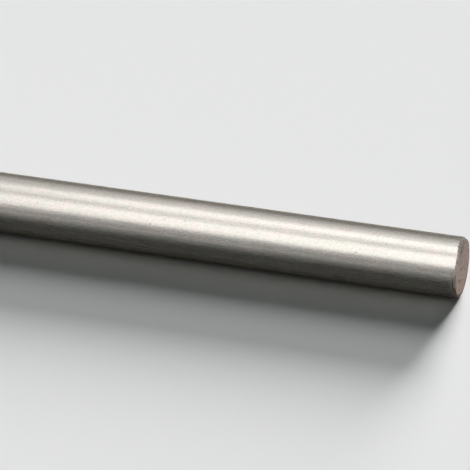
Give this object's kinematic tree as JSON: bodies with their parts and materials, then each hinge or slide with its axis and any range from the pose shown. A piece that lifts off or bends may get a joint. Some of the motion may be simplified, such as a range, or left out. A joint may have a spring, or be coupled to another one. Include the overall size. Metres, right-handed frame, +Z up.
{
  "type": "round metal bar",
  "caption": "Plain round steel bar, cold drawn to a bright satin finish, sawn square at both ends with the rim of each end rounded off.",
  "frame": {"origin": "on the bar's axis, halfway between the two end faces", "axes": "+X along the bar, +Z up as the bar lies on its side"},
  "size_m": [0.3048, 0.019, 0.019],
  "materials": {
    "drawn_steel": "bright drawn, satin, with fine streaks along the bar"
  },
  "bodies": {
    "root": {"round_bar": "drawn_steel"}
  },
  "joints": []
}
